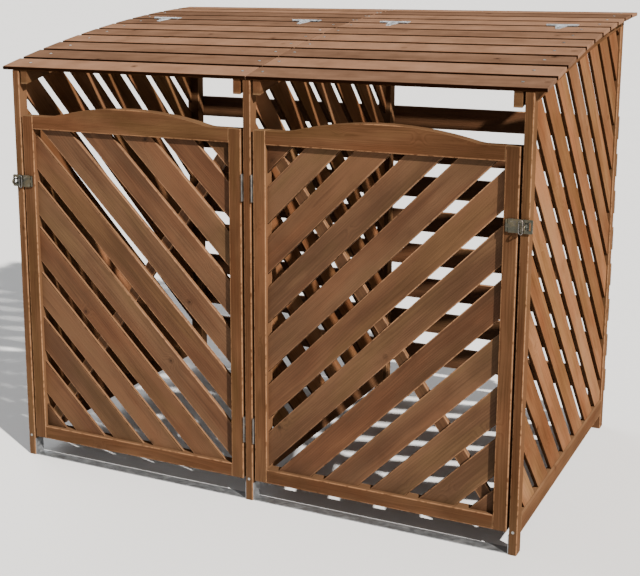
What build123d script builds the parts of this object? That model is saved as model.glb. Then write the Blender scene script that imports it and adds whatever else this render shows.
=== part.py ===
from build123d import *
from math import asin, cos, degrees, radians, sin, sqrt
import os

os.makedirs("parts", exist_ok=True)

# Two-bay timber store for two wheeled refuse bins.
# +X right, +Y to the back, +Z up. Origin on the ground, in the middle of the bounding box.

# Outline
WIDTH = 1500.0  # over the outer posts
FRONT_Y = -502.0  # front face of posts and closed doors
REAR_Y = 490.0  # rear face of the rear posts
HALF_W = WIDTH / 2

# Timber sections
POST_T = 22.0  # thickness of front posts, rails and battens, across X
FRONT_POST_D = 36.0
REAR_POST_W = 44.0
REAR_POST_D = 36.0
POST_ROUND = 3.0
BOARD_W = 70.0
BOARD_GAP = 25.0
BOARD_PITCH = BOARD_W + BOARD_GAP
BOARD_T = 9.0  # diagonal boards of the sides and partition
BACK_T = 12.0
BOARD_ROUND = 1.5
STRIP_LONG = 2400.0  # uncut length of a diagonal board

# Side panels and partition
RAIL_LOW = 49.0
RAIL_TOP = 96.0
RAIL_CHAMFER = 4.0
PANEL_RECESS = 6.0
PANEL_MID = (-6.0, 680.0)  # Y and Z
PANEL_DIAGONAL = 60.0  # y + z on the middle line of one gap
ARCH_R = 8904.8  # radius of the arched rails' lower edge
ARCH_CENTRE = (1287.8, -7606.3)  # Y and Z

# Back
BACK_COUNT = 8
BACK_FIRST = 115.0
BACK_PITCH = 115.0

# Roof: a shallow circular arch across Y, covered by flat slats
ROOF_R = 5766.0
ROOF_SLOPE = 13.0  # degrees, at the front edge
ROOF_FRONT_Y = -505.5
ROOF_FRONT_Z = 1159.4
SLAT_COUNT = 11
LID_SLATS = 7
SLAT_W = 82.0
SLAT_PITCH = 96.5
SLAT_T = 10.0
SLAT_ROUND = 2.0
SLAT_END = 780.0  # half width over the overhanging slats
ROOF_SPLIT = 3.0  # slit between the left and right lids
LID_RELIEF = 1.5  # clearance between the lid slats and what they pass over
BATTEN_H = 38.0
BATTEN_FRONT = -500.0
BATTEN_REAR = 138.0
BATTEN_X = (29.0, 711.0)

# Doors
DOOR_INNER = 18.0
DOOR_OUTER = 722.0
DOOR_LOW = 59.0
DOOR_T = 36.0
STILE_W = 36.0
DOOR_RAIL_TOP = 97.0  # top of the bottom rail
HEAD_LOW = 985.0  # underside of the top rail
HEAD_EAVE = 1022.0
HEAD_CREST = 1055.0
HEAD_FLAT = 115.0  # X where the arched top begins
HEAD_BLEND = 110.0  # hollow between the arch and the level shoulders
DOOR_RECESS = 12.0
DOOR_BOARD_T = 10.0
DOOR_DIAGONAL = 32.0  # z - x on the middle line of one gap
BRACE_W = 35.0
BRACE_T = 14.0

# Tee hinges of the lids, butt hinges of the doors
KNUCKLE_R = 3.0
PIN_R = 1.5
DOOR_KNUCKLE_R = 2.4
DOOR_PIN_R = 1.2
PIN_PLAY = 0.05
KNUCKLE_PLAY = 0.3
DOOR_HINGE_X = 14.5
DOOR_HINGE_Y = FRONT_Y - 1.3
DOOR_HINGE_H = 72.0
DOOR_HINGE_Z = (202.0, 869.0)
DOOR_LEAF_T = 2.0
DOOR_LEAF_Y = (-499.8, -478.0)
LID_HINGE_X = (145.0, 645.0)
LID_HINGE_W = 85.0  # cross plate of the tee hinge
LID_HINGE_RISE = 3.2
LID_LEAF_T = 1.6
LID_LEAF_D = 27.0
LID_LEAF_GAP = 4.0
STRAP_W = 33.0  # strap of the tee hinge at its knuckle
STRAP_TIP_W = 13.0
STRAP_L = 44.0

# Hasp, staple and link
HASP_Z = 835.0
HASP_H = 34.0
HASP_PIN_X = 695.0
HASP_PIN_Y = -505.2
HASP_KNUCKLE_R = 2.9
HASP_KNUCKLE_H = 10.0
HASP_PLATE_T = 2.0
HASP_BASE = (698.5, 720.0)
HASP_LEAF = (699.0, 759.0)
HASP_LEAF_Y = -507.5  # front face of the leaf
HASP_SLOT = (740.5, 754.0)
HASP_SLOT_H = 19.0
STAPLE_X = 744.0
STAPLE_PLATE = (731.0, 749.0)
STAPLE_PLATE_H = 30.0
STAPLE_WIRE = 2.0
STAPLE_BEND = 6.0
STAPLE_TIP = -530.7
LINK_X = 731.0
LINK_Z = 847.0
LINK_WIRE = 1.4
LINK_W = 9.0
LINK_L = 34.0
LINK_Y = -510.6
STUD_R = 1.6
STUD_CAP_R = 3.2

# Threshold strips
STRIP_Y = (-499.0, -465.0)
STRIP_T = 2.0
TAB_H = 50.0

# Screws
SCREW_R = 3.8
SCREW_HEAD_T = 1.2
SHANK_R = 1.7
SHANK_L = 26.0
SMALL_R = 2.6
SMALL_HEAD_T = 0.8
SMALL_SHANK_R = 1.2
SMALL_SHANK_L = 8.0
PLATE_R = 3.3
PLATE_HOLE_R = 1.85
STRAP_SCREWS = (10.0, 35.0)  # distance from the strap's root
CROSS_SCREWS = ((-33.0, 17.0), (-13.0, 10.0), (13.0, 10.0), (33.0, 17.0))  # X and distance from the plate's edge

ROOF_START = radians(ROOF_SLOPE)
ROOF_YC = ROOF_FRONT_Y + ROOF_R * sin(ROOF_START)
ROOF_ZC = ROOF_FRONT_Z - ROOF_R * cos(ROOF_START)
LID_GAP_S = LID_SLATS * SLAT_PITCH - (SLAT_PITCH - SLAT_W) / 2
LEAF_END = SLAT_W / 2 + (SLAT_PITCH - SLAT_W) / 2 - LID_LEAF_GAP  # from the middle of the slat
SIDES = (("left", -1), ("right", 1))
PANELS = (("left", -1), ("middle", 0), ("right", 1))


def save(builder, name):
    """Label a finished piece and write it as a STEP file."""
    builder.part.label = name
    export_step(builder.part, f"parts/{name}.step")


def roof_plane(s, rise=0.0):
    """Plane touching the roof arch at arc length s, X along the slats, raised along its normal."""
    a = ROOF_START - s / ROOF_R
    r = ROOF_R + rise
    return Plane(
        origin=(0, ROOF_YC - r * sin(a), ROOF_ZC + r * cos(a)),
        x_dir=(1, 0, 0),
        z_dir=(0, -sin(a), cos(a)),
    )


def slat_s(i):
    """Arc length of the middle of slat i."""
    return SLAT_W / 2 + i * SLAT_PITCH


def roof_z(y, depth):
    """Height of the arch lying the given depth under the roof surface."""
    return ROOF_ZC + sqrt((ROOF_R - depth) ** 2 - (y - ROOF_YC) ** 2)


def roof_arc(y0, y1, depth):
    """Three points of the arch at the given depth, from y0 to y1."""
    return [(y, roof_z(y, depth)) for y in (y0, (y0 + y1) / 2, y1)]


def arch_low_z(y):
    """Height of the lower edge of the arched rails."""
    return ARCH_CENTRE[1] + sqrt(ARCH_R**2 - (y - ARCH_CENTRE[0]) ** 2)


def low_arc(y0, y1):
    """Three points of the arched rails' lower edge, from y0 to y1."""
    return [(y, arch_low_z(y)) for y in (y0, (y0 + y1) / 2, y1)]


def span(a, b, sx=1):
    """Middle and size of the interval from a to b, on the side given by sx."""
    return sx * (a + b) / 2, abs(b - a)


def strips(mid_x, mid_y, constant, reach, slope):
    """Centres of the diagonal boards: x + slope * y sits midway between two gap lines."""
    pitch = BOARD_PITCH * sqrt(2)
    middle = mid_x + slope * mid_y
    first = int((middle - reach - constant) // pitch)
    last = int((middle + reach - constant) // pitch) + 1
    shifts = [(constant + (k + 0.5) * pitch - middle) / 2 for k in range(first, last)]
    return [(mid_x + d, mid_y + slope * d) for d in shifts]


HINGE_PLANE = roof_plane(LID_GAP_S, LID_HINGE_RISE)
PANEL_X = {-1: -HALF_W + POST_T / 2, 0: 0.0, 1: HALF_W - POST_T / 2}
BOARD_X = {-1: -HALF_W + PANEL_RECESS + BOARD_T / 2, 0: 0.0, 1: HALF_W - PANEL_RECESS - BOARD_T / 2}
REAR_POST_X = {-1: -HALF_W + REAR_POST_W / 2, 0: 0.0, 1: HALF_W - REAR_POST_W / 2}
POST_BACK = FRONT_Y + FRONT_POST_D
REAR_POST_FRONT = REAR_Y - REAR_POST_D

# ---------------------------------------------------------------- frame: posts, rails, panel boards
for name, k in PANELS:
    with BuildPart() as front_post:
        with BuildSketch(Plane.YZ.offset(PANEL_X[k] - POST_T / 2)):
            with BuildLine():
                Polyline(
                    (FRONT_Y, roof_z(FRONT_Y, SLAT_T + LID_RELIEF)),
                    (FRONT_Y, 0),
                    (POST_BACK, 0),
                    (POST_BACK, roof_z(POST_BACK, SLAT_T + LID_RELIEF)),
                    close=True,
                )
            make_face()
        extrude(amount=POST_T)
        fillet(front_post.edges().filter_by(Axis.Z), POST_ROUND)
    save(front_post, f"front_post_{name}")

    with BuildPart() as rear_post:
        with BuildSketch(Plane.YZ.offset(REAR_POST_X[k] - REAR_POST_W / 2)):
            with BuildLine():
                Line((REAR_POST_FRONT, arch_low_z(REAR_POST_FRONT)), (REAR_POST_FRONT, 0))
                Line((REAR_POST_FRONT, 0), (REAR_Y, 0))
                Line((REAR_Y, 0), (REAR_Y, arch_low_z(REAR_Y)))
                ThreePointArc(*low_arc(REAR_Y, REAR_POST_FRONT))
            make_face()
        extrude(amount=REAR_POST_W)
        fillet(rear_post.edges().filter_by(Axis.Z), POST_ROUND)
    save(rear_post, f"rear_post_{name}")

    with BuildPart() as bottom_rail:
        with BuildSketch(Plane.XZ.offset(-POST_BACK)):
            x, w = span(PANEL_X[k] - POST_T / 2, PANEL_X[k] + POST_T / 2)
            z, h = span(RAIL_LOW, RAIL_TOP)
            with Locations((x, z)):
                Rectangle(w, h)
        extrude(amount=POST_BACK - REAR_POST_FRONT)
        chamfer(bottom_rail.faces().sort_by(Axis.Z)[-1].edges().filter_by(Axis.Y), RAIL_CHAMFER)
    save(bottom_rail, f"bottom_rail_{name}")

    with BuildPart() as arched_rail:
        with BuildSketch(Plane.YZ.offset(PANEL_X[k] - POST_T / 2)):
            hinge_y = HINGE_PLANE.origin.Y
            with BuildLine():
                front_top = ThreePointArc(*roof_arc(POST_BACK, hinge_y, SLAT_T + LID_RELIEF))
                rear_top = ThreePointArc(*roof_arc(hinge_y, REAR_Y, SLAT_T))
                under = ThreePointArc(*low_arc(REAR_Y, POST_BACK))
                Line(front_top @ 1, rear_top @ 0)
                Line(rear_top @ 1, under @ 0)
                Line(under @ 1, front_top @ 0)
            make_face()
        extrude(amount=POST_T)
    save(arched_rail, f"arched_rail_{name}")

    with BuildPart() as panel_boards:
        with BuildSketch(Plane.YZ.offset(BOARD_X[k] - BOARD_T / 2)):
            with Locations(*strips(*PANEL_MID, PANEL_DIAGONAL, STRIP_LONG / 2, 1)):
                Rectangle(STRIP_LONG, BOARD_W, rotation=-45)
            with BuildLine():
                lower_edge = ThreePointArc(*low_arc(REAR_POST_FRONT, POST_BACK))
                Polyline(
                    lower_edge @ 1,
                    (POST_BACK, RAIL_TOP),
                    (REAR_POST_FRONT, RAIL_TOP),
                    lower_edge @ 0,
                )
            make_face(mode=Mode.INTERSECT)
        extrude(amount=BOARD_T)
        fillet(panel_boards.edges().filter_by(Axis((0, 0, 0), (0, 1, -1))), BOARD_ROUND)
    save(panel_boards, f"panel_boards_{name}")

# ---------------------------------------------------------------- back slats
with BuildPart() as back_slats:
    with BuildSketch(Plane.XZ.offset(-REAR_Y)):
        mid = BACK_FIRST + BOARD_W / 2
        with Locations(*[(0, mid + i * BACK_PITCH) for i in range(BACK_COUNT)]):
            Rectangle(WIDTH, BOARD_W)
    extrude(amount=-BACK_T)
    fillet(back_slats.edges().filter_by(Axis.X), SLAT_ROUND)
save(back_slats, "back_slats")

# ---------------------------------------------------------------- roof slats, fixed and on the lids
for side, sx in SIDES:
    slat_x, slat_l = span(ROOF_SPLIT / 2, SLAT_END, sx)

    with BuildPart() as lid_slats:
        for i in range(LID_SLATS):
            with BuildSketch(roof_plane(slat_s(i))):
                with Locations((slat_x, 0)):
                    Rectangle(slat_l, SLAT_W)
            extrude(amount=-SLAT_T)
        fillet(lid_slats.edges().filter_by(Axis.X), SLAT_ROUND)
    save(lid_slats, f"lid_slats_{side}")

    with BuildPart() as roof_slats:
        for i in range(LID_SLATS, SLAT_COUNT):
            with BuildSketch(roof_plane(slat_s(i))):
                with Locations((slat_x, 0)):
                    Rectangle(slat_l, SLAT_W)
            extrude(amount=-SLAT_T)
        fillet(roof_slats.edges().filter_by(Axis.X), SLAT_ROUND)
    save(roof_slats, f"roof_slats_{side}")

    for place, batten_x in zip(("inner", "outer"), BATTEN_X):
        with BuildPart() as lid_batten:
            with BuildSketch(Plane.YZ.offset(sx * batten_x - POST_T / 2)):
                with BuildLine():
                    top = ThreePointArc(*roof_arc(BATTEN_FRONT, BATTEN_REAR, SLAT_T))
                    low = ThreePointArc(*roof_arc(BATTEN_REAR, BATTEN_FRONT, SLAT_T + BATTEN_H))
                    Line(top @ 1, low @ 0)
                    Line(low @ 1, top @ 0)
                make_face()
            extrude(amount=POST_T)
        save(lid_batten, f"lid_batten_{place}_{side}")

    # screws through the slats into the battens and in the hinge straps
    with BuildPart() as lid_screws:
        for i in range(LID_SLATS):
            with BuildSketch(roof_plane(slat_s(i))):
                with Locations(*[(sx * x, 0) for x in BATTEN_X]):
                    Circle(SCREW_R)
            extrude(amount=SCREW_HEAD_T)
            with BuildSketch(roof_plane(slat_s(i))):
                with Locations(*[(sx * x, 0) for x in BATTEN_X]):
                    Circle(SHANK_R)
            extrude(amount=-SHANK_L)
        strap_points = [(sx * x, LEAF_END - d) for x in LID_HINGE_X for d in STRAP_SCREWS]
        with BuildSketch(roof_plane(slat_s(LID_SLATS - 1), LID_LEAF_T)):
            with Locations(*strap_points):
                Circle(PLATE_R)
        extrude(amount=SMALL_HEAD_T)
        with BuildSketch(roof_plane(slat_s(LID_SLATS - 1), LID_LEAF_T)):
            with Locations(*strap_points):
                Circle(SHANK_R)
        extrude(amount=-SMALL_SHANK_L)
    save(lid_screws, f"lid_screws_{side}")

    # tapered straps of the lid hinges, each with the middle knuckle
    with BuildPart() as lid_leaves:
        leaf_s = slat_s(LID_SLATS - 1)
        for hinge_x in LID_HINGE_X:
            x = sx * hinge_x
            middle = STRAP_W - 2 * KNUCKLE_PLAY
            with BuildSketch(roof_plane(leaf_s)) as strap:
                with BuildLine():
                    Polyline(
                        (x - middle / 2, LEAF_END),
                        (x - STRAP_TIP_W / 2, LEAF_END - STRAP_L),
                        (x + STRAP_TIP_W / 2, LEAF_END - STRAP_L),
                        (x + middle / 2, LEAF_END),
                        close=True,
                    )
                make_face()
                fillet(strap.vertices().sort_by(Axis.Y)[:2], 4)
                with Locations((x, LEAF_END + LID_LEAF_GAP / 2 - 0.5)):
                    Rectangle(middle, LID_LEAF_GAP + 1)
                with Locations(*[(x, LEAF_END - d) for d in STRAP_SCREWS]):
                    Circle(PLATE_HOLE_R, mode=Mode.SUBTRACT)
            extrude(amount=LID_LEAF_T)
            with BuildSketch(Plane(HINGE_PLANE.origin, x_dir=(0, 1, 0), z_dir=(1, 0, 0)).offset(
                sx * hinge_x - middle / 2
            )):
                Circle(KNUCKLE_R)
            extrude(amount=middle)
            with BuildSketch(Plane(HINGE_PLANE.origin, x_dir=(0, 1, 0), z_dir=(1, 0, 0)).offset(
                sx * hinge_x - LID_HINGE_W / 2
            )):
                Circle(PIN_R + PIN_PLAY)
            extrude(amount=LID_HINGE_W, mode=Mode.SUBTRACT)
    save(lid_leaves, f"lid_hinge_leaves_{side}")

# cross plates of the lid hinges, each with the two outer knuckles
with BuildPart() as lid_rear_leaves:
    rear_s = slat_s(LID_SLATS)
    rear_start = -SLAT_W / 2 - (SLAT_PITCH - SLAT_W) / 2 + LID_LEAF_GAP
    end_w = (LID_HINGE_W - STRAP_W) / 2
    end_shift = (LID_HINGE_W - end_w) / 2
    for hinge_x in [sx * x for _, sx in SIDES for x in LID_HINGE_X]:
        with BuildSketch(roof_plane(rear_s)):
            with Locations((hinge_x, rear_start + LID_LEAF_D / 2)):
                RectangleRounded(LID_HINGE_W, LID_LEAF_D, 2)
            with Locations(*[(hinge_x + x, rear_start + d) for x, d in CROSS_SCREWS]):
                Circle(PLATE_HOLE_R, mode=Mode.SUBTRACT)
        extrude(amount=LID_LEAF_T)
        for shift in (-end_shift, end_shift):
            with BuildSketch(roof_plane(rear_s)):
                with Locations((hinge_x + shift, rear_start - LID_LEAF_GAP / 2 + 1.5)):
                    Rectangle(end_w, LID_LEAF_GAP + 3)
            extrude(amount=LID_LEAF_T)
            with BuildSketch(Plane(HINGE_PLANE.origin, x_dir=(0, 1, 0), z_dir=(1, 0, 0)).offset(
                hinge_x + shift - end_w / 2
            )):
                Circle(KNUCKLE_R)
            extrude(amount=end_w)
        with BuildSketch(Plane(HINGE_PLANE.origin, x_dir=(0, 1, 0), z_dir=(1, 0, 0)).offset(
            hinge_x - LID_HINGE_W / 2
        )):
            Circle(PIN_R)
        extrude(amount=LID_HINGE_W, mode=Mode.SUBTRACT)
save(lid_rear_leaves, "lid_hinge_rear_leaves")

# screws through the fixed roof slats into the arched rails, and in the hinges' cross plates
with BuildPart() as roof_screws:
    screw_x = [sx * x for _, sx in SIDES for x in (POST_T / 4, PANEL_X[1])]
    for i in range(LID_SLATS, SLAT_COUNT):
        with BuildSketch(roof_plane(slat_s(i))):
            with Locations(*[(x, 0) for x in screw_x]):
                Circle(SCREW_R)
        extrude(amount=SCREW_HEAD_T)
        with BuildSketch(roof_plane(slat_s(i))):
            with Locations(*[(x, 0) for x in screw_x]):
                Circle(SHANK_R)
        extrude(amount=-SHANK_L)
    cross_points = [
        (sx * hinge_x + x, rear_start + d) for _, sx in SIDES for hinge_x in LID_HINGE_X for x, d in CROSS_SCREWS
    ]
    with BuildSketch(roof_plane(rear_s, LID_LEAF_T)):
        with Locations(*cross_points):
            Circle(PLATE_R)
    extrude(amount=SMALL_HEAD_T)
    with BuildSketch(roof_plane(rear_s, LID_LEAF_T)):
        with Locations(*cross_points):
            Circle(SHANK_R)
    extrude(amount=-SMALL_SHANK_L)
save(roof_screws, "roof_screws")

# ---------------------------------------------------------------- pins of the lid and door hinges
with BuildPart() as hinge_pins:
    for hinge_x in [sx * x for _, sx in SIDES for x in LID_HINGE_X]:
        with BuildSketch(Plane(HINGE_PLANE.origin, x_dir=(0, 1, 0), z_dir=(1, 0, 0)).offset(
            hinge_x - LID_HINGE_W / 2
        )):
            Circle(PIN_R)
        extrude(amount=LID_HINGE_W)
    for hinge_z in DOOR_HINGE_Z:
        with BuildSketch(Plane.XY.offset(hinge_z - DOOR_HINGE_H / 2)):
            with Locations(*[(sx * DOOR_HINGE_X, DOOR_HINGE_Y) for _, sx in SIDES]):
                Circle(DOOR_PIN_R)
        extrude(amount=DOOR_HINGE_H)
save(hinge_pins, "hinge_pins")

# post leaves of the door hinges, each with the two outer knuckles
with BuildPart() as post_leaves:
    third = DOOR_HINGE_H / 3
    leaf_y, leaf_d = span(*DOOR_LEAF_Y)
    web_y, web_d = span(DOOR_HINGE_Y, DOOR_LEAF_Y[0] + 1)
    for side, sx in SIDES:
        plate_x, _ = span(POST_T / 2, POST_T / 2 + DOOR_LEAF_T, sx)
        for hinge_z in DOOR_HINGE_Z:
            with BuildSketch(Plane.XY.offset(hinge_z - DOOR_HINGE_H / 2)):
                with Locations((plate_x, leaf_y)):
                    Rectangle(DOOR_LEAF_T, leaf_d)
            extrude(amount=DOOR_HINGE_H)
            for low in (hinge_z - DOOR_HINGE_H / 2, hinge_z + third / 2):
                with BuildSketch(Plane.XY.offset(low)):
                    with Locations((sx * DOOR_HINGE_X, DOOR_HINGE_Y)):
                        Circle(DOOR_KNUCKLE_R)
                    with Locations((plate_x + sx * 0.5, web_y)):
                        Rectangle(1.0, web_d)
                    with Locations((sx * DOOR_HINGE_X, DOOR_HINGE_Y)):
                        Circle(DOOR_PIN_R, mode=Mode.SUBTRACT)
                extrude(amount=third)
save(post_leaves, "door_hinge_post_leaves")

# ---------------------------------------------------------------- threshold strips and frame screws
for side, sx in SIDES:
    with BuildPart() as threshold:
        strip_y, strip_d = span(*STRIP_Y)
        with BuildSketch(Plane.XZ.offset(-STRIP_Y[1])):
            strip_x, strip_w = span(POST_T / 2, HALF_W - POST_T, sx)
            with Locations((strip_x, TAB_H / 2)):
                Rectangle(strip_w, TAB_H)
            with Locations((strip_x, (TAB_H + STRIP_T) / 2)):
                Rectangle(strip_w - 2 * STRIP_T, TAB_H - STRIP_T, mode=Mode.SUBTRACT)
        extrude(amount=strip_d)
    save(threshold, f"threshold_strip_{side}")

with BuildPart() as frame_screws:
    front_points = [(PANEL_X[k], 61.0) for _, k in PANELS]
    with BuildSketch(Plane.XZ.offset(-FRONT_Y)):
        with Locations(*front_points):
            Circle(SCREW_R)
    extrude(amount=SCREW_HEAD_T)
    with BuildSketch(Plane.XZ.offset(-FRONT_Y)):
        with Locations(*front_points):
            Circle(SHANK_R)
    extrude(amount=-SHANK_L)
    back_points = [
        (REAR_POST_X[k], BACK_FIRST + BOARD_W / 2 + i * BACK_PITCH)
        for _, k in PANELS
        for i in range(BACK_COUNT)
    ]
    with BuildSketch(Plane.XZ.offset(-REAR_Y - BACK_T)):
        with Locations(*back_points):
            Circle(SCREW_R)
    extrude(amount=-SCREW_HEAD_T)
    with BuildSketch(Plane.XZ.offset(-REAR_Y - BACK_T)):
        with Locations(*back_points):
            Circle(SHANK_R)
    extrude(amount=SHANK_L)
save(frame_screws, "frame_screws")

# ---------------------------------------------------------------- staples on the outer front posts
for side, sx in SIDES:
    with BuildPart() as staple:
        with BuildSketch(Plane.XZ.offset(-FRONT_Y)):
            plate_x, plate_w = span(*STAPLE_PLATE, sx)
            with Locations((plate_x, HASP_Z)):
                RectangleRounded(plate_w, STAPLE_PLATE_H, 2)
        extrude(amount=HASP_PLATE_T)
        with BuildLine() as staple_path:
            bend_y = STAPLE_TIP + STAPLE_WIRE + STAPLE_BEND
            foot_y = FRONT_Y - HASP_PLATE_T / 2
            x = sx * STAPLE_X
            high = (x, bend_y, HASP_Z + STAPLE_BEND)
            low = (x, bend_y, HASP_Z - STAPLE_BEND)
            Line((x, foot_y, HASP_Z + STAPLE_BEND), high)
            ThreePointArc(high, (x, bend_y - STAPLE_BEND, HASP_Z), low)
            Line(low, (x, foot_y, HASP_Z - STAPLE_BEND))
        with BuildSketch(Plane(origin=staple_path.line @ 0, z_dir=(0, -1, 0))):
            Circle(STAPLE_WIRE)
        sweep(path=staple_path.line)
    save(staple, f"staple_{side}")

# ---------------------------------------------------------------- doors
for side, sx in SIDES:
    stile_z, stile_h = span(DOOR_LOW, HEAD_EAVE)
    stiles = (
        (f"door_hinge_stile_{side}", DOOR_INNER + STILE_W / 2),
        (f"door_latch_stile_{side}", DOOR_OUTER - STILE_W / 2),
    )
    for name, x in stiles:
        with BuildPart() as stile:
            with BuildSketch(Plane.XZ.offset(-FRONT_Y)):
                with Locations((sx * x, stile_z)):
                    Rectangle(STILE_W, stile_h)
            extrude(amount=-DOOR_T)
            fillet(stile.faces().sort_by(Axis.Y)[0].edges().filter_by(Axis.Z), SLAT_ROUND)
        save(stile, name)

    rail_x, rail_l = span(DOOR_INNER + STILE_W, DOOR_OUTER - STILE_W, sx)
    with BuildPart() as door_bottom_rail:
        with BuildSketch(Plane.XZ.offset(-FRONT_Y)):
            rail_z, rail_h = span(DOOR_LOW, DOOR_RAIL_TOP)
            with Locations((rail_x, rail_z)):
                Rectangle(rail_l, rail_h)
        extrude(amount=-DOOR_T)
        fillet(door_bottom_rail.faces().sort_by(Axis.Y)[0].edges().filter_by(Axis.X), SLAT_ROUND)
    save(door_bottom_rail, f"door_bottom_rail_{side}")

    with BuildPart() as door_top_rail:
        with BuildSketch(Plane.XZ.offset(-FRONT_Y)) as head:
            left_end = rail_x - rail_l / 2
            right_end = rail_x + rail_l / 2
            flat = HEAD_FLAT - DOOR_INNER - STILE_W
            with BuildLine():
                Polyline(
                    (left_end + flat, HEAD_EAVE),
                    (left_end, HEAD_EAVE),
                    (left_end, HEAD_LOW),
                    (right_end, HEAD_LOW),
                    (right_end, HEAD_EAVE),
                    (right_end - flat, HEAD_EAVE),
                )
                ThreePointArc((right_end - flat, HEAD_EAVE), (rail_x, HEAD_CREST), (left_end + flat, HEAD_EAVE))
            make_face()
            shoulders = head.vertices().filter_by_position(Axis.Y, HEAD_EAVE - 1, HEAD_EAVE + 1).sort_by(Axis.X)
            fillet(shoulders[1:3], HEAD_BLEND)
        extrude(amount=-DOOR_T)
    save(door_top_rail, f"door_top_rail_{side}")

    with BuildPart() as door_boards:
        with BuildSketch(Plane.XZ.offset(-FRONT_Y - DOOR_RECESS)):
            field_z, field_h = span(DOOR_RAIL_TOP, HEAD_LOW)
            with Locations(*strips(rail_x, field_z, -sx * DOOR_DIAGONAL, STRIP_LONG / 2, -sx)):
                Rectangle(STRIP_LONG, BOARD_W, rotation=sx * 45)
            with Locations((rail_x, field_z)):
                Rectangle(rail_l, field_h, mode=Mode.INTERSECT)
        extrude(amount=-DOOR_BOARD_T)
        fillet(door_boards.edges().filter_by(Axis((0, 0, 0), (sx, 0, 1))), BOARD_ROUND)
    save(door_boards, f"door_boards_{side}")

    with BuildPart() as door_brace:
        with BuildSketch(Plane.XZ.offset(-FRONT_Y - DOOR_RECESS - DOOR_BOARD_T)):
            angle = degrees(asin(field_h / sqrt(field_h**2 + rail_l**2)))
            with Locations((rail_x, field_z)):
                Rectangle(STRIP_LONG, BRACE_W, rotation=-sx * angle)
                Rectangle(rail_l, field_h, mode=Mode.INTERSECT)
        extrude(amount=-BRACE_T)
    save(door_brace, f"door_brace_{side}")

    # door leaves of the hinges, each with the middle knuckle
    with BuildPart() as door_leaves:
        plate_x, _ = span(DOOR_INNER - DOOR_LEAF_T, DOOR_INNER, sx)
        middle = DOOR_HINGE_H / 3 - 2 * KNUCKLE_PLAY
        for hinge_z in DOOR_HINGE_Z:
            with BuildSketch(Plane.XY.offset(hinge_z - DOOR_HINGE_H / 2)):
                with Locations((plate_x, leaf_y)):
                    Rectangle(DOOR_LEAF_T, leaf_d)
            extrude(amount=DOOR_HINGE_H)
            with BuildSketch(Plane.XY.offset(hinge_z - middle / 2)):
                with Locations((sx * DOOR_HINGE_X, DOOR_HINGE_Y)):
                    Circle(DOOR_KNUCKLE_R)
                with Locations((plate_x - sx * 0.5, web_y)):
                    Rectangle(1.0, web_d)
                with Locations((sx * DOOR_HINGE_X, DOOR_HINGE_Y)):
                    Circle(DOOR_PIN_R + PIN_PLAY, mode=Mode.SUBTRACT)
            extrude(amount=middle)
    save(door_leaves, f"door_hinge_leaves_{side}")

    # hasp base with two knuckles and the pin between them
    knuckle_low = (HASP_Z - HASP_H / 2 + 2, HASP_Z + HASP_H / 2 - 2 - HASP_KNUCKLE_H)
    with BuildPart() as hasp_base:
        base_x, base_w = span(*HASP_BASE, sx)
        with BuildSketch(Plane.XZ.offset(-FRONT_Y)):
            with Locations((base_x, HASP_Z)):
                Rectangle(base_w, HASP_H - 4)
        extrude(amount=HASP_PLATE_T)
        for low in knuckle_low:
            with BuildSketch(Plane.XY.offset(low)):
                with Locations((sx * HASP_PIN_X, HASP_PIN_Y)):
                    Circle(HASP_KNUCKLE_R)
                web_x, web_w = span(HASP_PIN_X, HASP_BASE[0], sx)
                with Locations((web_x, FRONT_Y - HASP_PLATE_T / 2 - 0.2)):
                    Rectangle(web_w, HASP_PLATE_T - 0.4)
            extrude(amount=HASP_KNUCKLE_H)
        with BuildSketch(Plane.XY.offset(knuckle_low[0])):
            with Locations((sx * HASP_PIN_X, HASP_PIN_Y)):
                Circle(PIN_R)
        extrude(amount=HASP_H - 4)
    save(hasp_base, f"hasp_base_{side}")

    with BuildPart() as hasp_screws:
        points = [(base_x, HASP_Z + shift) for shift in (-10, 0, 10)]
        with BuildSketch(Plane.XZ.offset(-FRONT_Y + HASP_PLATE_T)):
            with Locations(*points):
                Circle(SMALL_R)
        extrude(amount=SMALL_HEAD_T)
        with BuildSketch(Plane.XZ.offset(-FRONT_Y + HASP_PLATE_T)):
            with Locations(*points):
                Circle(SMALL_SHANK_R)
        extrude(amount=-SMALL_SHANK_L)
    save(hasp_screws, f"hasp_screws_{side}")

    # hasp leaf with its slot, the middle knuckle and the stud that carries the link
    with BuildPart() as hasp_leaf:
        with BuildSketch(Plane.XZ.offset(-HASP_LEAF_Y)):
            plate_x, plate_w = span(*HASP_LEAF, sx)
            with Locations((plate_x, HASP_Z)):
                RectangleRounded(plate_w, HASP_H, 3)
            slot_x, slot_w = span(*HASP_SLOT, sx)
            with Locations((slot_x, HASP_Z)):
                Rectangle(slot_w, HASP_SLOT_H, mode=Mode.SUBTRACT)
        extrude(amount=-HASP_PLATE_T)
        middle = knuckle_low[1] - knuckle_low[0] - HASP_KNUCKLE_H - 2 * KNUCKLE_PLAY
        with BuildSketch(Plane.XY.offset(HASP_Z - middle / 2)):
            with Locations((sx * HASP_PIN_X, HASP_PIN_Y)):
                Circle(HASP_KNUCKLE_R)
            web_x, web_w = span(HASP_PIN_X, HASP_LEAF[0] + 2, sx)
            with Locations((web_x, HASP_LEAF_Y + 0.75)):
                Rectangle(web_w, 1.5)
            with Locations((sx * HASP_PIN_X, HASP_PIN_Y)):
                Circle(PIN_R + PIN_PLAY, mode=Mode.SUBTRACT)
        extrude(amount=middle)
        stud_l = HASP_LEAF_Y - LINK_Y + LINK_WIRE + 0.8
        with BuildSketch(Plane.XZ.offset(-HASP_LEAF_Y)):
            with Locations((sx * LINK_X, LINK_Z)):
                Circle(STUD_R)
        extrude(amount=stud_l)
        with BuildSketch(Plane.XZ.offset(-HASP_LEAF_Y + stud_l)):
            with Locations((sx * LINK_X, LINK_Z)):
                Circle(STUD_CAP_R)
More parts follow.
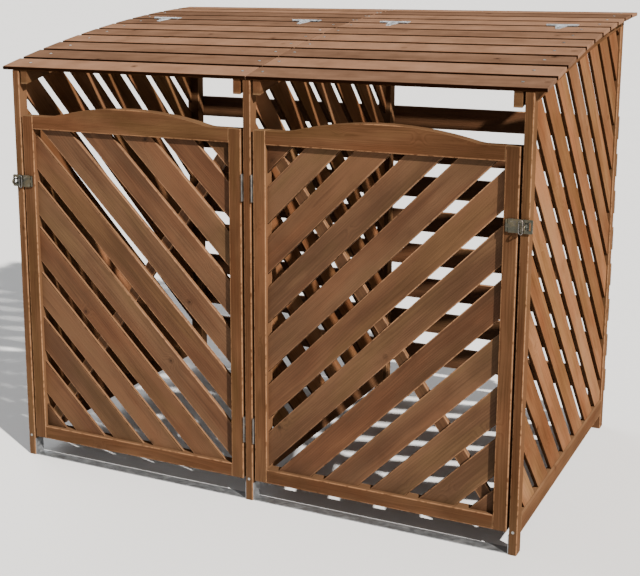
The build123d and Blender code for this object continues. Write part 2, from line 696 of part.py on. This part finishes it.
        extrude(amount=1.2)
    save(hasp_leaf, f"hasp_leaf_{side}")

    # wire link hanging on the stud: straight sides, round top, pointed foot
    with BuildPart() as link:
        with BuildLine() as link_path:
            half = LINK_W / 2
            top_z = LINK_Z + STUD_R + LINK_WIRE + 0.1 - half
            foot_z = top_z + half - LINK_L
            x = sx * LINK_X
            ThreePointArc((x - half, LINK_Y, top_z), (x, LINK_Y, top_z + half), (x + half, LINK_Y, top_z))
            Line((x + half, LINK_Y, top_z), (x + half, LINK_Y, foot_z + half))
            ThreePointArc(
                (x + half, LINK_Y, foot_z + half), (x, LINK_Y, foot_z), (x - half, LINK_Y, foot_z + half)
            )
            Line((x - half, LINK_Y, foot_z + half), (x - half, LINK_Y, top_z))
        with BuildSketch(Plane(origin=(x - half, LINK_Y, top_z), z_dir=(0, 0, 1))):
            Circle(LINK_WIRE)
        sweep(path=link_path.line)
    save(link, f"hasp_link_{side}")
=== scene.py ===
import math
import random

import bmesh
import bpy
from mathutils import Matrix, Vector

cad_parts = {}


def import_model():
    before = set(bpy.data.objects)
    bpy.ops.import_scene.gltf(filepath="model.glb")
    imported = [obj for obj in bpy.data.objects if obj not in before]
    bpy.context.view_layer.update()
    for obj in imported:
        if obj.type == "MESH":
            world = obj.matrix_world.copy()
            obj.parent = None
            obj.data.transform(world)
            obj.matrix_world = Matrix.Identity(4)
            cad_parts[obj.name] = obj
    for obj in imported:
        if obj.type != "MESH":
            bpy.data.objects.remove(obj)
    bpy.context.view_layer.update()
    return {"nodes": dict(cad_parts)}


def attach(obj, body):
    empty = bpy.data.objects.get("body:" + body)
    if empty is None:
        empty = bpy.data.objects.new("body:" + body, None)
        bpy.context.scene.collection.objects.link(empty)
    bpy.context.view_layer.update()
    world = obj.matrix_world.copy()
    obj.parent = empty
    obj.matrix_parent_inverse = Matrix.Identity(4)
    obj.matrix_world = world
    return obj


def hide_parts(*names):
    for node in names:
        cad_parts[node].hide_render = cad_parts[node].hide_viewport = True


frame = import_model()
NODES = frame["nodes"]
SIDES = (("left", -1), ("right", 1))


# ---------------------------------------------------------------- node helpers
class Tree:
    """Short calls for building a material's node tree."""

    def __init__(self, name):
        self.material = bpy.data.materials.new(name)
        self.material.use_nodes = True
        self.nodes = self.material.node_tree.nodes
        self.links = self.material.node_tree.links
        self.nodes.clear()
        self.output = self.nodes.new("ShaderNodeOutputMaterial")
        self.shader = self.nodes.new("ShaderNodeBsdfPrincipled")
        self.links.new(self.shader.outputs[0], self.output.inputs["Surface"])

    def put(self, socket, value):
        if isinstance(value, bpy.types.NodeSocket):
            self.links.new(value, socket)
        else:
            socket.default_value = value

    def math(self, op, *values, clamp=False):
        n = self.nodes.new("ShaderNodeMath")
        n.operation = op
        n.use_clamp = clamp
        for i, v in enumerate(values):
            self.put(n.inputs[i], v)
        return n.outputs[0]

    def vec(self, op, a, b):
        n = self.nodes.new("ShaderNodeVectorMath")
        n.operation = op
        self.put(n.inputs[0], a)
        self.put(n.inputs[1], b)
        return n.outputs["Vector"]

    def split(self, v):
        n = self.nodes.new("ShaderNodeSeparateXYZ")
        self.put(n.inputs[0], v)
        return n.outputs

    def join(self, x, y, z):
        n = self.nodes.new("ShaderNodeCombineXYZ")
        for i, v in enumerate((x, y, z)):
            self.put(n.inputs[i], v)
        return n.outputs[0]

    def attribute(self, name, output):
        n = self.nodes.new("ShaderNodeAttribute")
        n.attribute_name = name
        return n.outputs[output]

    def noise(self, vector, scale, detail=3.0, rough=0.55, distortion=0.0):
        n = self.nodes.new("ShaderNodeTexNoise")
        self.put(n.inputs["Vector"], vector)
        n.inputs["Scale"].default_value = scale
        n.inputs["Detail"].default_value = detail
        n.inputs["Roughness"].default_value = rough
        n.inputs["Distortion"].default_value = distortion
        return n.outputs["Fac"]

    def cells(self, vector, scale, output="Distance"):
        n = self.nodes.new("ShaderNodeTexVoronoi")
        self.put(n.inputs["Vector"], vector)
        n.inputs["Scale"].default_value = scale
        return n.outputs[output]

    def ramp(self, fac, stops):
        """Colour ramp; a stop's value is a grey level or an RGB colour."""
        n = self.nodes.new("ShaderNodeValToRGB")
        self.put(n.inputs[0], fac)
        e = n.color_ramp.elements
        while len(e) < len(stops):
            e.new(0.5)
        for item, (at, value) in zip(e, stops):
            item.position = at
            item.color = (value, value, value, 1) if isinstance(value, float) else (*value, 1)
        return n.outputs[0]

    def smooth(self, value, low, high, to_low=0.0, to_high=1.0):
        """Smooth step from to_low at low to to_high at high."""
        n = self.nodes.new("ShaderNodeMapRange")
        n.interpolation_type = "SMOOTHSTEP"
        for i, v in enumerate((value, low, high, to_low, to_high)):
            self.put(n.inputs[i], v)
        return n.outputs[0]

    def mix(self, fac, a, b, blend="MIX"):
        n = self.nodes.new("ShaderNodeMix")
        n.data_type = "RGBA"
        n.blend_type = blend
        n.clamp_factor = True
        self.put(n.inputs[0], fac)
        for socket, v in ((n.inputs[6], a), (n.inputs[7], b)):
            self.put(socket, v if isinstance(v, bpy.types.NodeSocket) else (*v, 1))
        return n.outputs[2]

    def bump(self, height, strength, distance, normal=None):
        n = self.nodes.new("ShaderNodeBump")
        n.inputs["Strength"].default_value = strength
        n.inputs["Distance"].default_value = distance
        self.put(n.inputs["Height"], height)
        if normal is not None:
            self.put(n.inputs["Normal"], normal)
        return n.outputs[0]


def rest_position(t):
    """Place at rest, in metres, because every object's origin is the frame's origin."""
    return t.nodes.new("ShaderNodeTexCoord").outputs["Object"]


def normal_z(t):
    """How far the surface faces up."""
    n = t.nodes.new("ShaderNodeNewGeometry")
    return t.split(n.outputs["Normal"])[2]


def shade(colour, factor):
    return tuple(min(1.0, c * factor) for c in colour)


# ---------------------------------------------------------------- materials
SPLASH_DIRT = (0.050, 0.033, 0.022)
STAIN_DIRT = (0.16, 0.11, 0.07)
RUST_SPOT = (0.10, 0.08, 0.05)
WHITE_BLOOM = (0.26, 0.26, 0.24)
CHROMATE_STOPS = [
    (0.28, (0.032, 0.040, 0.030)),
    (0.46, (0.055, 0.052, 0.039)),
    (0.58, (0.082, 0.068, 0.040)),
    (0.75, (0.064, 0.060, 0.056)),
]


def wood(name, *, light, mid, dark, bleach_and_light, bleached_and_lit, ring, specular, spread, sides, arris_wear_and_highlight):
    """Stained softwood. Needs the attributes local, half and seed that timber() writes.

    light, mid and dark are the stain's tones and bleach_and_light is the pale weathered one, also
    painted light on upward faces; bleached_and_lit is how far upward faces have turned to it, ring is
    the growth rings' spacing in metres, spread is how much boards differ, sides paints shade onto the
    narrow sides of boards (above 0) or paints a highlight on them (below 0), and arris_wear_and_highlight
    is how far the arrises are lightened, partly stain rubbed off and partly a painted highlight.
    """
    t = Tree(name)
    local = t.attribute("local", "Vector")
    half = t.attribute("half", "Vector")
    seed = t.attribute("seed", "Fac")
    p = t.vec("ADD", local, t.join(*[t.math("MULTIPLY", seed, k) for k in (19.3, 7.9, 3.1)]))
    u, v, w = t.split(p)
    local_u, local_v, local_w = t.split(local)
    half_u, half_v, half_w = t.split(half)

    def stretched(along, across, deep=None):
        """Position scaled apart along and across the grain."""
        depth = w if deep is None else t.math("MULTIPLY", w, deep)
        return t.join(t.math("MULTIPLY", u, along), t.math("MULTIPLY", v, across), depth)

    def scattered(factor):
        """Another number from 0 to 1 for each board."""
        return t.math("FRACT", t.math("MULTIPLY", seed, factor))

    # knots: round spots that also push the growth rings aside
    wander = t.noise(p, 6.0, 2.0)
    warped = t.join(u, t.math("ADD", v, t.math("MULTIPLY", wander, 0.02)), t.math("MULTIPLY", w, 0.7))
    near = t.cells(warped, 8.5)
    knot = t.smooth(near, 0.030, 0.062, 1.0, 0.0)
    rim_in, rim_out = t.smooth(near, 0.045, 0.065), t.smooth(near, 0.065, 0.11, 1.0, 0.0)
    knot_rim = t.math("MULTIPLY", rim_in, rim_out)
    push = t.smooth(near, 0.03, 0.26, 1.0, 0.0)

    # growth rings of a flat-sawn board: distance from a pith that lies off the board
    drift = t.noise(stretched(1.1, 5.0), 1.0, 3.0, 0.5)
    pith_v = t.math("MULTIPLY", t.math("SUBTRACT", scattered(13.7), 0.5), 0.09)
    pith_w = t.math("MULTIPLY_ADD", scattered(5.3), 0.05, 0.018)
    from_v = t.math("SUBTRACT", local_v, pith_v)
    from_w = t.math("ADD", local_w, pith_w)
    radius = t.math("SQRT", t.math("ADD", *[t.math("MULTIPLY", d, d) for d in (from_v, from_w)]))
    fine_wobble = t.noise(stretched(9.0, 60.0), 1.0, 2.0)
    for field, weight in ((drift, 0.042), (push, 0.011), (fine_wobble, 0.0012)):
        radius = t.math("ADD", radius, t.math("MULTIPLY", field, weight))
    ring_phase = t.math("FRACT", t.math("MULTIPLY", radius, 1.0 / ring))
    late_wood = t.ramp(ring_phase, [(0.0, 0.05), (0.45, 0.22), (0.80, 0.78), (0.93, 1.0), (1.0, 0.05)])

    # fibres and broad patches of the stain
    fibre = t.noise(stretched(7.0, 240.0, 240.0), 1.0, 5.0, 0.62)
    streak = t.noise(stretched(2.2, 52.0, 52.0), 1.0, 3.0, 0.5)
    patch = t.noise(stretched(3.0, 11.0), 1.0, 3.0, 0.6)
    pore = t.noise(stretched(30.0, 800.0, 800.0), 1.0, 2.0, 0.7)

    tone = t.math("MULTIPLY_ADD", late_wood, 0.18, t.math("MULTIPLY", t.math("SUBTRACT", fibre, 0.5), 0.50))
    for field, weight in ((streak, 0.45), (patch, 1.25)):
        tone = t.math("ADD", tone, t.math("MULTIPLY", t.math("SUBTRACT", field, 0.5), weight))
    board = t.math("SUBTRACT", scattered(29.1), 0.5)
    tone = t.math("MULTIPLY_ADD", board, spread, t.math("ADD", tone, 0.29), clamp=True)
    colour = t.ramp(tone, [(0.0, light), (0.42, mid), (1.0, dark)])

    # some boards and some places are redder, others greener
    colour = t.mix(t.math("MULTIPLY", scattered(41.7), 0.30), colour, (1.0, 0.72, 0.55), "MULTIPLY")
    hue_at = t.join(t.math("MULTIPLY", u, 2.4), t.math("MULTIPLY", v, 9.0), t.math("ADD", w, 4.0))
    hue = t.noise(hue_at, 1.0, 3.0, 0.6)
    colour = t.mix(t.smooth(hue, 0.36, 0.52, 0.45, 0.0), colour, (0.84, 0.98, 0.82), "MULTIPLY")
    colour = t.mix(t.smooth(hue, 0.50, 0.66, 0.0, 0.45), colour, (1.06, 0.86, 0.80), "MULTIPLY")

    # upward faces and the end grain turn to the pale weathered tone; on upward faces this is partly
    # weathering and partly painted light, tops lighter than the faces left in shade
    up = t.smooth(normal_z(t), 0.25, 0.95)
    bleach_and_light_field = t.math("MULTIPLY_ADD", t.noise(p, 14.0, 4.0), 0.8, bleached_and_lit - 0.4)
    weather_and_light = t.math("MULTIPLY", up, bleach_and_light_field, clamp=True)
    from_end = t.math("SUBTRACT", half_u, t.math("ABSOLUTE", local_u))
    weather_and_light = t.math("MAXIMUM", weather_and_light, t.smooth(from_end, 0.0004, 0.0012, 0.75, 0.0))
    colour = t.mix(weather_and_light, colour, t.mix(tone, shade(bleach_and_light, 1.35), shade(bleach_and_light, 0.60)))

    # narrow sides painted darker as shade (sides above 0) or lighter as a highlight (sides below 0), and
    # knots
    from_side = t.math("SUBTRACT", half_v, t.math("ABSOLUTE", local_v))
    from_face = t.math("SUBTRACT", half_w, t.math("ABSOLUTE", local_w))
    painted_side_light = shade(dark, 0.4) if sides > 0 else shade(light, 1.6)
    colour = t.mix(t.smooth(from_side, 0.0006, 0.0016, abs(sides), 0.0), colour, painted_side_light)
    colour = t.mix(t.math("MULTIPLY", knot, 0.72), colour, shade(dark, 0.45))
    colour = t.mix(t.math("MULTIPLY", knot_rim, 0.35), colour, shade(dark, 0.85))
    # arrises lightened, partly stain rubbed off and partly a painted highlight along the edges
    from_arris = t.math("ADD", t.math("ABSOLUTE", from_side), t.math("ABSOLUTE", from_face))
    rub = t.smooth(t.noise(p, 60.0, 4.0, 0.7), 0.34, 0.54)
    wear_and_highlight_mask = t.math("MULTIPLY", t.smooth(from_arris, 0.0008, 0.0040, 1.0, 0.0), rub)
    colour = t.mix(t.math("MULTIPLY", wear_and_highlight_mask, arris_wear_and_highlight), colour, shade(light, 2.3))

    # splashed dirt near the ground and thin dark runs
    height = t.split(rest_position(t))[2]
    splash = t.math("MULTIPLY", t.smooth(height, 0.0, 0.20, 1.0, 0.0), t.noise(p, 22.0, 4.0), clamp=True)
    colour = t.mix(t.math("MULTIPLY", splash, 0.45), colour, SPLASH_DIRT)
    grime = t.smooth(t.noise(rest_position(t), 5.5, 4.0, 0.62), 0.52, 0.78)
    colour = t.mix(t.math("MULTIPLY", grime, 0.30), colour, shade(dark, 0.8))
    t.put(t.shader.inputs["Base Color"], colour)

    rough = t.math("MULTIPLY_ADD", fibre, 0.22, 0.46)
    rough = t.math("ADD", rough, t.math("MULTIPLY", weather_and_light, 0.16))
    rough = t.math("SUBTRACT", rough, t.math("MULTIPLY", late_wood, 0.06), clamp=True)
    t.put(t.shader.inputs["Roughness"], rough)
    t.shader.inputs["Specular IOR Level"].default_value = specular

    relief = t.math("MULTIPLY_ADD", late_wood, 0.55, t.math("MULTIPLY", fibre, 0.9))
    relief = t.math("SUBTRACT", relief, t.math("MULTIPLY", knot_rim, 0.5))
    coarse = t.bump(relief, 0.55, 0.0007)
    t.put(t.shader.inputs["Normal"], t.bump(pore, 0.35, 0.0004, coarse))
    return t.material


def galvanised(name, base, dirt):
    """Hot-dip zinc: pale spangle, dull white bloom and some brown dirt."""
    t = Tree(name)
    at = rest_position(t)
    spangle = t.cells(at, 95.0, "Color")
    grey = t.split(spangle)[0]
    bloom = t.noise(at, 34.0, 5.0, 0.65)
    colour = t.mix(grey, shade(base, 0.80), shade(base, 1.16))
    colour = t.mix(t.smooth(bloom, 0.48, 0.72), colour, shade(base, 1.25))
    stain = t.math("MULTIPLY", t.smooth(t.noise(at, 17.0, 5.0, 0.7), 0.50, 0.74), dirt)
    colour = t.mix(stain, colour, STAIN_DIRT)
    t.put(t.shader.inputs["Base Color"], colour)
    t.put(t.shader.inputs["Metallic"], t.math("MULTIPLY_ADD", stain, -0.9, 0.92, clamp=True))
    rough = t.math("MULTIPLY_ADD", bloom, 0.34, t.math("MULTIPLY_ADD", grey, 0.10, 0.20))
    t.put(t.shader.inputs["Roughness"], rough)
    scratch = t.noise(t.vec("MULTIPLY", at, (900.0, 120.0, 120.0)), 1.0, 3.0, 0.7)
    relief = t.math("ADD", bloom, t.math("MULTIPLY", scratch, 0.3))
    t.put(t.shader.inputs["Normal"], t.bump(relief, 0.22, 0.0004))
    return t.material


def passivated(name):
    """Zinc with a yellow chromate film, dulled to olive and grey outdoors."""
    t = Tree(name)
    at = rest_position(t)
    film = t.noise(at, 46.0, 4.0, 0.6, 0.6)
    colour = t.ramp(film, CHROMATE_STOPS)
    spots = t.smooth(t.noise(at, 210.0, 4.0, 0.7), 0.58, 0.72)
    colour = t.mix(t.math("MULTIPLY", spots, 0.5), colour, RUST_SPOT)
    white = t.smooth(t.noise(t.vec("ADD", at, (3.0, 1.0, 2.0)), 70.0, 4.0, 0.7), 0.56, 0.70)
    colour = t.mix(t.math("MULTIPLY", white, 0.40), colour, WHITE_BLOOM)
    t.put(t.shader.inputs["Base Color"], colour)
    t.put(t.shader.inputs["Metallic"], t.math("MULTIPLY_ADD", spots, -0.5, 0.88))
    t.put(t.shader.inputs["Roughness"], t.math("MULTIPLY_ADD", film, 0.35, 0.22))
    t.put(t.shader.inputs["Normal"], t.bump(t.noise(at, 380.0, 4.0, 0.7), 0.20, 0.0003))
    return t.material


FRAME_WOOD = wood(
    "frame_wood",
    light=(0.0870, 0.0445, 0.0222),
    mid=(0.0530, 0.0258, 0.0124),
    dark=(0.0235, 0.0100, 0.0044),
    bleach_and_light=(0.1008, 0.0588, 0.0302),
    bleached_and_lit=0.35,
    ring=0.0040,
    specular=0.0,
    spread=0.20,
    sides=-0.25,
    arris_wear_and_highlight=0.80,
)
BOARD_WOOD = wood(
    "board_wood",
    light=(0.0795, 0.0410, 0.0208),
    mid=(0.0490, 0.0243, 0.0125),
    dark=(0.0214, 0.0097, 0.0046),
    bleach_and_light=(0.0830, 0.0464, 0.0240),
    bleached_and_lit=0.25,
    ring=0.0045,
    specular=0.06,
    spread=0.60,
    sides=-0.65,
    arris_wear_and_highlight=0.80,
)
PANEL_WOOD = wood(
    "panel_wood",
    light=(0.1554, 0.0773, 0.0382),
    mid=(0.1008, 0.0470, 0.0218),
    dark=(0.0470, 0.0197, 0.0084),
    bleach_and_light=(0.1260, 0.0714, 0.0378),
    bleached_and_lit=0.20,
    ring=0.0045,
    specular=0.0,
    spread=0.55,
    sides=0.85,
    arris_wear_and_highlight=0.10,
)
# very dark stain under a strong pale tone on upward faces: slat edges carry painted shade, tops painted
# light
ROOF_WOOD = wood(
    "roof_wood",
    light=(0.0400, 0.0176, 0.0072),
    mid=(0.0240, 0.0100, 0.0040),
    dark=(0.0112, 0.0040, 0.0016),
    bleach_and_light=(0.1215, 0.0675, 0.0415),
    bleached_and_lit=0.85,
    ring=0.0045,
    specular=0.0,
    spread=0.90,
    sides=0.93,
    arris_wear_and_highlight=0.20,
)
ZINC = galvanised("galvanised_zinc", (0.60, 0.63, 0.66), 0.25)
SCREW_ZINC = galvanised("galvanised_screws", (0.26, 0.26, 0.25), 0.35)
DULL_ZINC = galvanised("dulled_zinc", (0.11, 0.105, 0.10), 0.60)
STRIP_ZINC = galvanised("galvanised_strip", (0.30, 0.31, 0.32), 0.22)
HASP_ZINC = passivated("passivated_zinc")


# ---------------------------------------------------------------- timber
MERGE_DIST = 2e-6  # welds the seams of a CAD mesh
FLAT_ANGLE = math.radians(0.4)  # faces nearer than this to one plane become one
TIMBER_CORNER = math.radians(40)
METAL_CORNER = math.radians(35)


def islands(bm):
    """Loose parts of a mesh, each as a list of vertices, sorted by place."""
    left = set(bm.verts)
    parts = []
    while left:
        first = next(iter(left))
        stack, part = [first], {first}
        while stack:
            for e in stack.pop().link_edges:
                for v in e.verts:
                    if v not in part:
                        part.add(v)
                        stack.append(v)
        left -= part
        parts.append(sorted(part, key=lambda v: v.index))

    def place(part):
        c = sum((v.co for v in part), Vector()) / len(part)
        return (round(c.z, 4), round(c.y, 4), round(c.x, 4))

    return sorted(parts, key=place)


def ease_edges(piece, width, corner):
    bevel = piece.modifiers.new("eased_edges", "BEVEL")
    bevel.width = width
    bevel.segments = 2
    bevel.limit_method = "ANGLE"
    bevel.angle_limit = corner


def timber(node, body, grain, face, material, ease=0.0):
    """Visual timber for a CAD node, in which each board gets grain coordinates of its own."""
    grain = Vector(grain).normalized()
    face = Vector(face).normalized()
    across = face.cross(grain).normalized()
    bm = bmesh.new()
    bm.from_mesh(NODES[node].data)
    bmesh.ops.remove_doubles(bm, verts=bm.verts, dist=MERGE_DIST)
    bmesh.ops.dissolve_limit(bm, angle_limit=FLAT_ANGLE, verts=bm.verts, edges=bm.edges)
    bm.verts.index_update()
    local = bm.verts.layers.float_vector.new("local")
    half = bm.verts.layers.float_vector.new("half")
    seed = bm.verts.layers.float.new("seed")
    rng = random.Random(node)
    for part in islands(bm):
        sides = [[v.co.dot(axis) for v in part] for axis in (grain, across, face)]
        mid = [(min(side) + max(side)) / 2 for side in sides]
        size = Vector([(max(side) - min(side)) / 2 for side in sides])
        value, _ = rng.random(), rng.random()  # two draws for each board
        for v, *at in zip(part, *sides):
            v[local] = Vector([a - m for a, m in zip(at, mid)])
            v[half] = size
            v[seed] = value
    mesh = bpy.data.meshes.new(node + "_timber")
    bm.to_mesh(mesh)
    bm.free()
    for poly in mesh.polygons:
        poly.use_smooth = True
    mesh.materials.append(material)
    piece = bpy.data.objects.new(node + "_timber", mesh)
    bpy.context.scene.collection.objects.link(piece)
    if ease:
        ease_edges(piece, ease, TIMBER_CORNER)
    normals = piece.modifiers.new("flat_faces", "WEIGHTED_NORMAL")
    normals.keep_sharp = True
    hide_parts(node)
    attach(piece, body)


X, Y, Z = (1, 0, 0), (0, 1, 0), (0, 0, 1)
PANEL_GRAIN = (0, 1, -1)
ARCHED_RAIL_GRAIN = (0, 1, 0.145)
BATTEN_GRAIN = (0, 1, 0.18)
LID_FACE = (0, -0.17, 1)
ROOF_FACE = (0, -0.08, 1)
ROOF_EASE, FRAME_EASE, ARCH_EASE, TOP_RAIL_EASE = 0.0006, 0.0008, 0.0012, 0.0016

for name in ("left", "middle", "right"):
    for node, grain, face, ease in (
        (f"front_post_{name}", Z, Y, FRAME_EASE),
        (f"rear_post_{name}", Z, Y, FRAME_EASE),
        (f"bottom_rail_{name}", Y, X, FRAME_EASE),
        (f"arched_rail_{name}", ARCHED_RAIL_GRAIN, X, ARCH_EASE),
    ):
        timber(node, "frame", grain, face, FRAME_WOOD, ease)
    timber(f"panel_boards_{name}", "frame", PANEL_GRAIN, X, PANEL_WOOD)
timber("back_slats", "frame", X, Y, BOARD_WOOD)
for side, sx in SIDES:
    lid, door = f"lid_{side}", f"door_{side}"
    timber(f"lid_slats_{side}", lid, X, LID_FACE, ROOF_WOOD, ROOF_EASE)
    timber(f"roof_slats_{side}", "frame", X, ROOF_FACE, ROOF_WOOD, ROOF_EASE)
    for node, body, grain, face, ease in (
        (f"lid_batten_inner_{side}", lid, BATTEN_GRAIN, X, ARCH_EASE),
        (f"lid_batten_outer_{side}", lid, BATTEN_GRAIN, X, ARCH_EASE),
        (f"door_hinge_stile_{side}", door, Z, Y, FRAME_EASE),
        (f"door_latch_stile_{side}", door, Z, Y, FRAME_EASE),
        (f"door_bottom_rail_{side}", door, X, Y, FRAME_EASE),
        (f"door_top_rail_{side}", door, X, Y, TOP_RAIL_EASE),
    ):
        timber(node, body, grain, face, FRAME_WOOD, ease)
    timber(f"door_boards_{side}", door, (sx, 0, 1), Y, BOARD_WOOD)
    brace_grain = (-sx * 0.632, 0, 0.888)
    timber(f"door_brace_{side}", door, brace_grain, Y, BOARD_WOOD, FRAME_EASE)


# ---------------------------------------------------------------- metal parts carried over from the CAD
def dress(node, material, ease):
    for s in NODES[node].material_slots:
        s.material = material
    ease_edges(NODES[node], ease, METAL_CORNER)


PLATE_EASE, FORMED_EASE, PIN_EASE, WIRE_EASE = 0.0004, 0.0003, 0.0002, 0.0
for node, material, ease in (
    ("door_hinge_post_leaves", DULL_ZINC, PLATE_EASE),
    ("hinge_pins", DULL_ZINC, PIN_EASE),
    ("lid_hinge_rear_leaves", ZINC, PLATE_EASE),
    ("roof_screws", SCREW_ZINC, PLATE_EASE),
    ("frame_screws", SCREW_ZINC, PLATE_EASE),
):
    dress(node, material, ease)
for side, _ in SIDES:
    for node, material, ease in (
        ("lid_hinge_leaves", ZINC, PLATE_EASE),
        ("lid_screws", SCREW_ZINC, PLATE_EASE),
        ("door_hinge_leaves", DULL_ZINC, PLATE_EASE),
        ("hasp_link", DULL_ZINC, WIRE_EASE),
        ("threshold_strip", STRIP_ZINC, PLATE_EASE),
        ("hasp_base", HASP_ZINC, FORMED_EASE),
        ("hasp_leaf", HASP_ZINC, PLATE_EASE),
        ("staple", HASP_ZINC, FORMED_EASE),
        ("hasp_screws", HASP_ZINC, FORMED_EASE),
    ):
        dress(f"{node}_{side}", material, ease)


# ---------------------------------------------------------------- floor, light and camera
FLOOR_REACH = 250.0
FLOOR_DROP = 0.0005  # keeps the floor clear of the posts' feet
FLOOR_TINTS = (0.60, 0.60, 0.597), (0.63, 0.63, 0.627)
HORIZON_BAND = 0.01, 0.16  # z of the direction into the sky, between which it fades
SKY_TINT = (1.0, 0.99, 0.975, 1)


def floor():
    bm = bmesh.new()
    bmesh.ops.create_grid(bm, x_segments=4, y_segments=4, size=FLOOR_REACH)
    mesh = bpy.data.meshes.new("floor")
    bm.to_mesh(mesh)
    bm.free()
    t = Tree("pale_floor")
    at = rest_position(t)
    t.put(t.shader.inputs["Base Color"], t.mix(t.noise(at, 1.3, 3.0), *FLOOR_TINTS))
    rough = t.math("MULTIPLY_ADD", t.noise(at, 60.0, 3.0), 0.1, 0.75)
    t.put(t.shader.inputs["Roughness"], rough)
    mesh.materials.append(t.material)
    o = bpy.data.objects.new("floor", mesh)
    bpy.context.scene.collection.objects.link(o)
    o.location.z = -FLOOR_DROP


def sun(name, *, azimuth, elevation, energy, angle, colour):
    """Light from azimuth degrees to the right of the front, at that elevation."""
    a, e = math.radians(azimuth), math.radians(elevation)
    towards = Vector((math.sin(a) * math.cos(e), -math.cos(a) * math.cos(e), math.sin(e)))
    data = bpy.data.lights.new(name, "SUN")
    data.energy = energy
    data.angle = math.radians(angle)
    data.color = colour
    o = bpy.data.objects.new(name, data)
    o.rotation_euler = towards.to_track_quat("Z", "Y").to_euler()
    o.location = towards * 6.0
    bpy.context.scene.collection.objects.link(o)


def world(*, overhead, horizon):
    """Even sky that brightens to the floor's tone at the horizon."""
    w = bpy.data.worlds.new("studio")
    w.use_nodes = True
    nodes, links = w.node_tree.nodes, w.node_tree.links
    nodes["Background"].inputs[0].default_value = SKY_TINT
    axes = nodes.new("ShaderNodeSeparateXYZ")
    links.new(nodes.new("ShaderNodeTexCoord").outputs["Generated"], axes.inputs[0])
    fade = nodes.new("ShaderNodeMapRange")
    fade.interpolation_type = "SMOOTHSTEP"
    links.new(axes.outputs[2], fade.inputs[0])
    for i, v in enumerate((*HORIZON_BAND, horizon, overhead)):
        fade.inputs[i + 1].default_value = v
    links.new(fade.outputs[0], nodes["Background"].inputs[1])
    bpy.context.scene.world = w


def camera(*, place, yaw, pitch, roll, lens, shift):
    """Camera at place that looks along +Y when its angles, in radians, are 0."""
    forward = Vector((math.sin(yaw) * math.cos(pitch), math.cos(yaw) * math.cos(pitch), -math.sin(pitch)))
    right = forward.cross(Vector((0, 0, 1))).normalized()
    up = right.cross(forward)
    c, s = math.cos(roll), math.sin(roll)
    right, up = right * c + up * s, up * c - right * s
    data = bpy.data.cameras.new("camera")
    data.lens = lens
    data.sensor_width = 36
    data.shift_x, data.shift_y = shift
    data.clip_end = 200
    o = bpy.data.objects.new("camera", data)
    turn = Matrix((right, up, -forward)).transposed().to_4x4()
    o.matrix_world = Matrix.Translation(place) @ turn
    bpy.context.scene.collection.objects.link(o)
    bpy.context.scene.camera = o


floor()
sun("key", azimuth=60, elevation=35, energy=14.0, angle=1.5, colour=(1.0, 0.955, 0.90))
sun("fill", azimuth=-25, elevation=55, energy=0.15, angle=60.0, colour=(0.93, 0.96, 1.0))
sun("back", azimuth=248, elevation=38, energy=2.0, angle=50.0, colour=(0.95, 0.97, 1.0))
world(overhead=0.28, horizon=1.45)
camera(
    place=(1.4686, -3.2259, 1.4139),
    yaw=-0.45655,
    pitch=0.20417,
    roll=-0.0005,
    lens=67.86,
    shift=(0.0439, -0.10),
)
